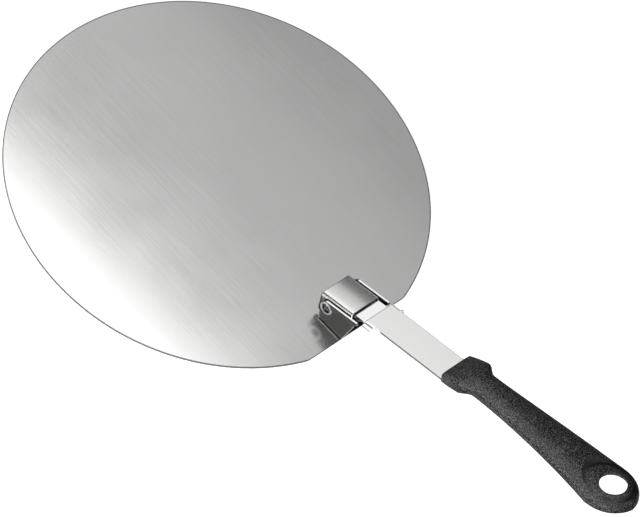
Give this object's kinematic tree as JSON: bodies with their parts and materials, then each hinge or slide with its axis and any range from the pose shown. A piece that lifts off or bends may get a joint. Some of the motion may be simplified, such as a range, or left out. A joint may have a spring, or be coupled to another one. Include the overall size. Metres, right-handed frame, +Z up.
{
  "type": "folding pizza peel",
  "caption": "Thin round metal pizza peel whose strip handle, with a moulded dark grip and hang hole, folds flat over the blade about a riveted bracket.",
  "frame": {"origin": "centre of the round blade on its underside", "axes": "+Z up out of the blade, +X along the open handle, +Y across"},
  "size_m": [0.4566, 0.254, 0.0829],
  "materials": {
    "blade_steel": "satin, fine brushing",
    "bracket_steel": "satin",
    "rivet_steel": "plain",
    "pin_steel": "dark, smooth dome",
    "washer_steel": "bright",
    "spring_steel": "plain",
    "cover_steel": "satin",
    "strip_steel": "satin, bright",
    "grip_plastic": "fine moulded texture"
  },
  "bodies": {
    "head": {"blade": "blade_steel", "hinge_bracket": "bracket_steel", "bracket_rivets": "rivet_steel", "hinge_pin": "pin_steel", "pin_washers": "washer_steel", "spacer_tube": "washer_steel", "disc_spring": "spring_steel", "friction_washer": "washer_steel"},
    "handle": {"hinge_cover": "cover_steel", "handle_strip": "strip_steel", "grip": "grip_plastic"}
  },
  "joints": [
    {"name": "fold", "type": "hinge", "parent": "head", "child": "handle", "pos_m": [0.1047, 0, 0.0135], "axis": [0, -1, 0], "range_deg": [0, 161]}
  ]
}
